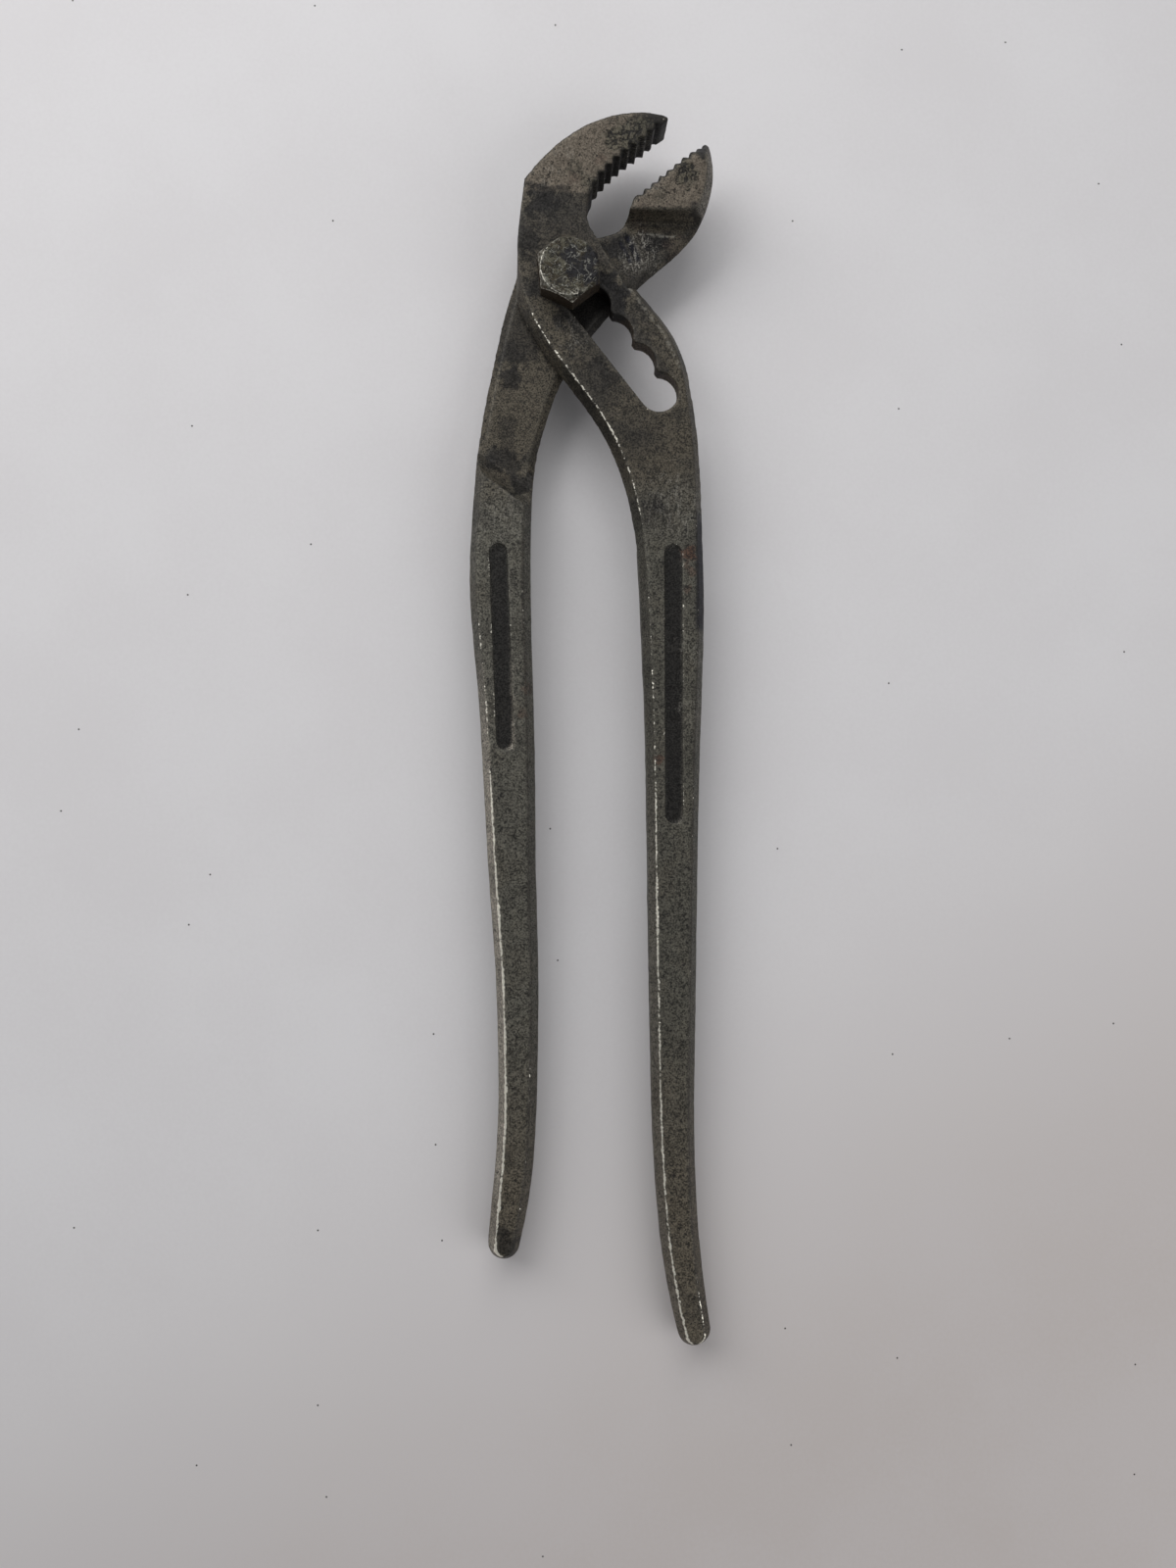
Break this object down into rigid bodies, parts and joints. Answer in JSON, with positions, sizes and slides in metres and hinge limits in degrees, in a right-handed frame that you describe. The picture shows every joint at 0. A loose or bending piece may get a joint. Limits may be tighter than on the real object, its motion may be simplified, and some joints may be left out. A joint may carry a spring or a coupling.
{
  "type": "slip-joint water-pump pliers",
  "caption": "Forged steel slip-joint water-pump pliers: hooked toothed jaws, scalloped slot for a sliding hex pivot bolt, long bare bevelled handles.",
  "frame": {"origin": "on the pivot bolt's axis, in the plane of the levers' back faces, with the bolt in its first seat", "axes": "+Z out of the front along the bolt towards its head, +Y along the tool towards the jaws, +X towards the slotted lever's handle"},
  "size_m": [0.0531, 0.2667, 0.0214],
  "materials": {
    "slotted_lever": "forged, dark and worn",
    "plain_lever": "forged, dark and worn",
    "pivot_bolt": "worn bright at the rim",
    "pivot_nut": "dark and worn"
  },
  "bodies": {
    "slotted_half": {"slotted_lever": "slotted_lever"},
    "pivot": {"pivot_bolt": "pivot_bolt", "pivot_nut": "pivot_nut"},
    "plain_half": {"plain_lever": "plain_lever"}
  },
  "joints": [
    {"name": "seat_slide", "type": "slide", "parent": "slotted_half", "child": "pivot", "axis": [0.6225, -0.7826, 0], "range_m": [0, 0.03132]},
    {"name": "jaw_pivot", "type": "hinge", "parent": "pivot", "child": "plain_half", "pos_m": [0, 0, 0], "axis": [0, 0, 1], "range_deg": [-56, 1.5]}
  ]
}
